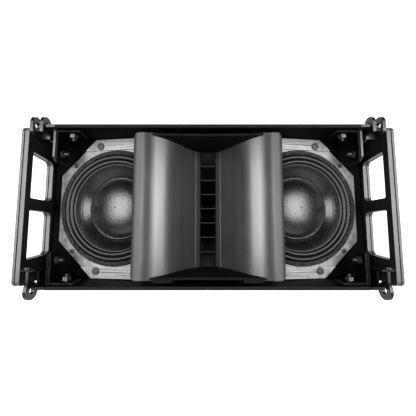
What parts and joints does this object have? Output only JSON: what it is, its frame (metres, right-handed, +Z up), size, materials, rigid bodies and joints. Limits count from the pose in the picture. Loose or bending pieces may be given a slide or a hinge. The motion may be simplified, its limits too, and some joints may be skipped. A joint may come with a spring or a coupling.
{
  "type": "line array speaker",
  "caption": "Tapered line-array loudspeaker element with two cone drivers set behind a wide central horn, side rigging plates with hand windows, front clevises and links.",
  "frame": {"origin": "middle of the upper front pin axis, between the two front clevises, where the element hangs", "axes": "+X to the right seen from the front, +Y to the rear, +Z up with the front upright"},
  "size_m": [0.711, 0.4015, 0.3485],
  "materials": {
    "painted_panel": "textured black paint over birch plywood",
    "raw_ply": "unpainted birch plywood",
    "side_plate": "black coated faces, bare satin edges",
    "damping": "black damping sheet",
    "zinc_fastener": "blackened zinc",
    "rigging_steel": "black phosphated steel with bright rubbed edges",
    "bracket_steel": "black powder coat, worn edges",
    "cast_frame": "light grey paint on cast alloy",
    "adapter_plate": "grey anodised",
    "gasket_felt": "speckled pressed felt",
    "surround_cloth": "doped cloth",
    "cone_paper": "charcoal paper pulp",
    "cap_paper": "charcoal coated paper pulp",
    "voice_coil": "wire on a former",
    "spider_cloth": "resin treated cloth",
    "motor_steel": "zinc plated",
    "magnet": "sintered",
    "clamp_bar": "light grey satin",
    "clamp_screw": "satin, slotted",
    "frame_screw": "satin, cross slotted",
    "horn_moulding": "satin black moulding",
    "throat_moulding": "satin black moulding",
    "horn_end_moulding": "matt black moulding",
    "horn_plate": "black anodised",
    "fin_moulding": "matt black moulding",
    "waveguide_moulding": "matt black moulding",
    "driver_alloy": "machined",
    "diaphragm": "thin foil dome",
    "driver_cover": "moulded",
    "bar_steel": "zinc nickel",
    "pin_steel": "satin",
    "connector_plate": "black powder coat",
    "connector_moulding": "black moulding",
    "circuit_board": "green laminate",
    "board_parts": "wound coils, film capacitors, resistor",
    "lining_felt": "polyester wadding"
  },
  "bodies": {
    "cabinet": {"aperture_fins": "fin_moulding", "back_panel": "painted_panel", "baffles": "painted_panel", "board_spacers": "zinc_fastener", "bottom_panel": "painted_panel", "bracket_bolts": "zinc_fastener", "chamber_lining": "lining_felt", "chamber_walls": "raw_ply", "clamp_bars": "clamp_bar", "clamp_screws": "clamp_screw", "connector_plate": "connector_plate", "connector_plate_screws": "zinc_fastener", "corner_brackets": "bracket_steel", "crossover_board": "circuit_board", "crossover_parts": "board_parts", "damping_layers": "damping", "driver_magnet": "magnet", "driver_phase_plug": "driver_alloy", "driver_rear_cover": "driver_cover", "driver_throat_plate": "driver_alloy", "frame_screws": "frame_screw", "front_clevis_left": "rigging_steel", "front_clevis_right": "rigging_steel", "horn_end_walls": "horn_end_moulding", "horn_flare_left": "horn_moulding", "horn_flare_right": "horn_moulding", "horn_mounting_plate": "horn_plate", "link_connectors": "connector_moulding", "link_guides": "rigging_steel", "rear_channels": "rigging_steel", "rear_stop_bolts": "zinc_fastener", "side_plate_screws": "zinc_fastener", "side_plates_inner": "side_plate", "side_plates_outer": "side_plate", "side_walls": "painted_panel", "throat_cheeks": "throat_moulding", "top_panel": "painted_panel", "waveguide_body": "waveguide_moulding", "woofer_adapters": "adapter_plate", "woofer_frames": "cast_frame", "woofer_gaskets": "gasket_felt", "woofer_magnets": "magnet", "woofer_spiders": "spider_cloth", "woofer_surround_left": "surround_cloth", "woofer_surround_right": "surround_cloth", "woofer_top_plates": "motor_steel", "woofer_yokes": "motor_steel"},
    "link_left": {"front_link_left": "rigging_steel"},
    "link_right": {"front_link_right": "rigging_steel"},
    "bar_left": {"splay_bar_left": "bar_steel"},
    "bar_right": {"splay_bar_right": "bar_steel"},
    "pin_left": {"lock_pin_left": "pin_steel"},
    "pin_right": {"lock_pin_right": "pin_steel"},
    "cone_left": {"woofer_cone_left": "cone_paper", "dust_cap_left": "cap_paper", "voice_coil_left": "voice_coil"},
    "cone_right": {"woofer_cone_right": "cone_paper", "dust_cap_right": "cap_paper", "voice_coil_right": "voice_coil"},
    "diaphragm": {"driver_diaphragm": "diaphragm"}
  },
  "joints": [
    {"name": "link_slide_left", "type": "slide", "parent": "cabinet", "child": "link_left", "axis": [0, 0, 1], "range_m": [0, 0.018]},
    {"name": "bar_slide_left", "type": "slide", "parent": "cabinet", "child": "bar_left", "axis": [0, 0, 1], "range_m": [0, 0.05]},
    {"name": "pin_pull_left", "type": "slide", "parent": "cabinet", "child": "pin_left", "axis": [-1, 0, 0], "range_m": [0, 0.02], "stiffness_N_per_m": 400},
    {"name": "cone_travel_left", "type": "slide", "parent": "cabinet", "child": "cone_left", "axis": [-0.1392, -0.9903, 0], "range_m": [-0.005, 0.005], "stiffness_N_per_m": 3500, "deforming": ["woofer_surround_left", "woofer_spiders"]},
    {"name": "link_slide_right", "type": "slide", "parent": "cabinet", "child": "link_right", "axis": [0, 0, 1], "range_m": [0, 0.018]},
    {"name": "bar_slide_right", "type": "slide", "parent": "cabinet", "child": "bar_right", "axis": [0, 0, 1], "range_m": [0, 0.05]},
    {"name": "pin_pull_right", "type": "slide", "parent": "cabinet", "child": "pin_right", "axis": [1, 0, 0], "range_m": [0, 0.02], "stiffness_N_per_m": 400},
    {"name": "cone_travel_right", "type": "slide", "parent": "cabinet", "child": "cone_right", "axis": [0.1392, -0.9903, 0], "range_m": [-0.005, 0.005], "stiffness_N_per_m": 3500, "deforming": ["woofer_surround_right", "woofer_spiders"]},
    {"name": "diaphragm_travel", "type": "slide", "parent": "cabinet", "child": "diaphragm", "axis": [0, -1, 0], "range_m": [-0.0003, 0.0003], "stiffness_N_per_m": 3000}
  ]
}
